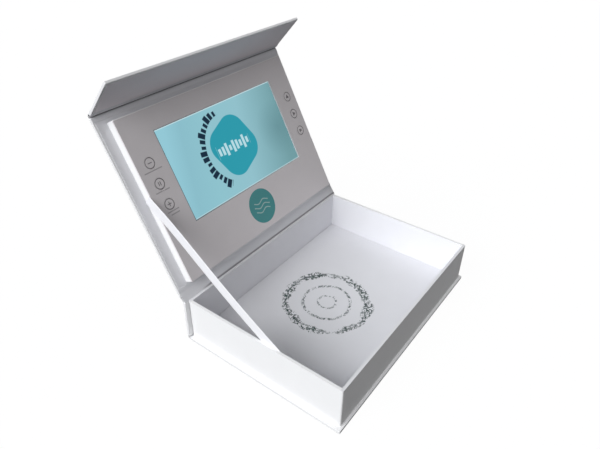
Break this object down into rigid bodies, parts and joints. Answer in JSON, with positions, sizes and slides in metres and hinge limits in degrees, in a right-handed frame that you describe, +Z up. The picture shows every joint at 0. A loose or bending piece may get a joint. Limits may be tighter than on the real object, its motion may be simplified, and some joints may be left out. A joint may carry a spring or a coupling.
{
  "type": "lcd video brochure",
  "caption": "Rigid paper presentation box with a magnetic front flap; its hinged lid carries a video screen, round keys and a ribbon stay.",
  "frame": {"origin": "middle of the tray's footprint, on the underside of the bottom board", "axes": "+X to the right as one faces the screen, +Y back towards the lid's hinge, +Z up"},
  "size_m": [0.238, 0.2551, 0.2343],
  "materials": {
    "white_paper": "satin",
    "printed_sheet": "matte",
    "platform_card": "satin",
    "key_card": "satin",
    "ribbon": "satin",
    "foam": "matte",
    "screen_glass": "gloss",
    "screen_metal": "satin",
    "backlight": "matte",
    "circuit": "satin",
    "chip": "matte",
    "flat_cable": "satin",
    "pouch": "satin",
    "speaker": "matte",
    "lead": "satin",
    "magnet": "polished",
    "socket_steel": "satin"
  },
  "bodies": {
    "base": {"bottom_board": "white_paper", "spine_board": "white_paper", "base_fold": "white_paper", "tray_shell": "white_paper", "tray_wrap": "white_paper", "tray_floor_liner": "printed_sheet", "front_wall_magnets": "magnet", "sensor_magnet": "magnet", "stay_ribbon": "ribbon", "lid_fold": "white_paper"},
    "lid": {"lid_board": "white_paper", "lid_liner": "white_paper", "platform_frame": "white_paper", "platform_face": "platform_card", "foam_bed": "foam", "screen_bezel": "screen_metal", "screen_glass": "screen_glass", "screen_backlight": "backlight", "screen_flex": "flat_cable", "left_key_board": "circuit", "right_key_board": "circuit", "left_switches": "chip", "right_switches": "chip", "left_flex": "flat_cable", "right_flex": "flat_cable", "main_board": "circuit", "board_chips": "chip", "lid_sensor": "chip", "charge_socket": "socket_steel", "battery": "pouch", "battery_leads": "lead", "speaker": "speaker", "speaker_leads": "lead", "flap_fold": "white_paper"},
    "flap": {"flap_board": "white_paper", "flap_liner": "white_paper", "flap_magnets": "magnet"},
    "key_left_1": {"key_left_1": "key_card"},
    "key_left_2": {"key_left_2": "key_card"},
    "key_left_3": {"key_left_3": "key_card"},
    "key_right_1": {"key_right_1": "key_card"},
    "key_right_2": {"key_right_2": "key_card"},
    "key_right_3": {"key_right_3": "key_card"}
  },
  "joints": [
    {"name": "lid_hinge", "type": "hinge", "parent": "base", "child": "lid", "pos_m": [0, 0.08635, 0.0473], "axis": [1, 0, 0], "range_deg": [0, 118.7], "deforming": ["stay_ribbon", "lid_fold"]},
    {"name": "flap_hinge", "type": "hinge", "parent": "lid", "child": "flap", "pos_m": [0, 0.16904, 0.19834], "axis": [1, 0, 0], "range_deg": [-90, 20], "deforming": ["flap_fold"]},
    {"name": "key_left_1_press", "type": "slide", "parent": "lid", "child": "key_left_1", "axis": [0, 0.8771, -0.4802], "range_m": [0, 0.00025], "stiffness_N_per_m": 1200},
    {"name": "key_left_2_press", "type": "slide", "parent": "lid", "child": "key_left_2", "axis": [0, 0.8771, -0.4802], "range_m": [0, 0.00025], "stiffness_N_per_m": 1200},
    {"name": "key_left_3_press", "type": "slide", "parent": "lid", "child": "key_left_3", "axis": [0, 0.8771, -0.4802], "range_m": [0, 0.00025], "stiffness_N_per_m": 1200},
    {"name": "key_right_1_press", "type": "slide", "parent": "lid", "child": "key_right_1", "axis": [0, 0.8771, -0.4802], "range_m": [0, 0.00025], "stiffness_N_per_m": 1200},
    {"name": "key_right_2_press", "type": "slide", "parent": "lid", "child": "key_right_2", "axis": [0, 0.8771, -0.4802], "range_m": [0, 0.00025], "stiffness_N_per_m": 1200},
    {"name": "key_right_3_press", "type": "slide", "parent": "lid", "child": "key_right_3", "axis": [0, 0.8771, -0.4802], "range_m": [0, 0.00025], "stiffness_N_per_m": 1200}
  ]
}
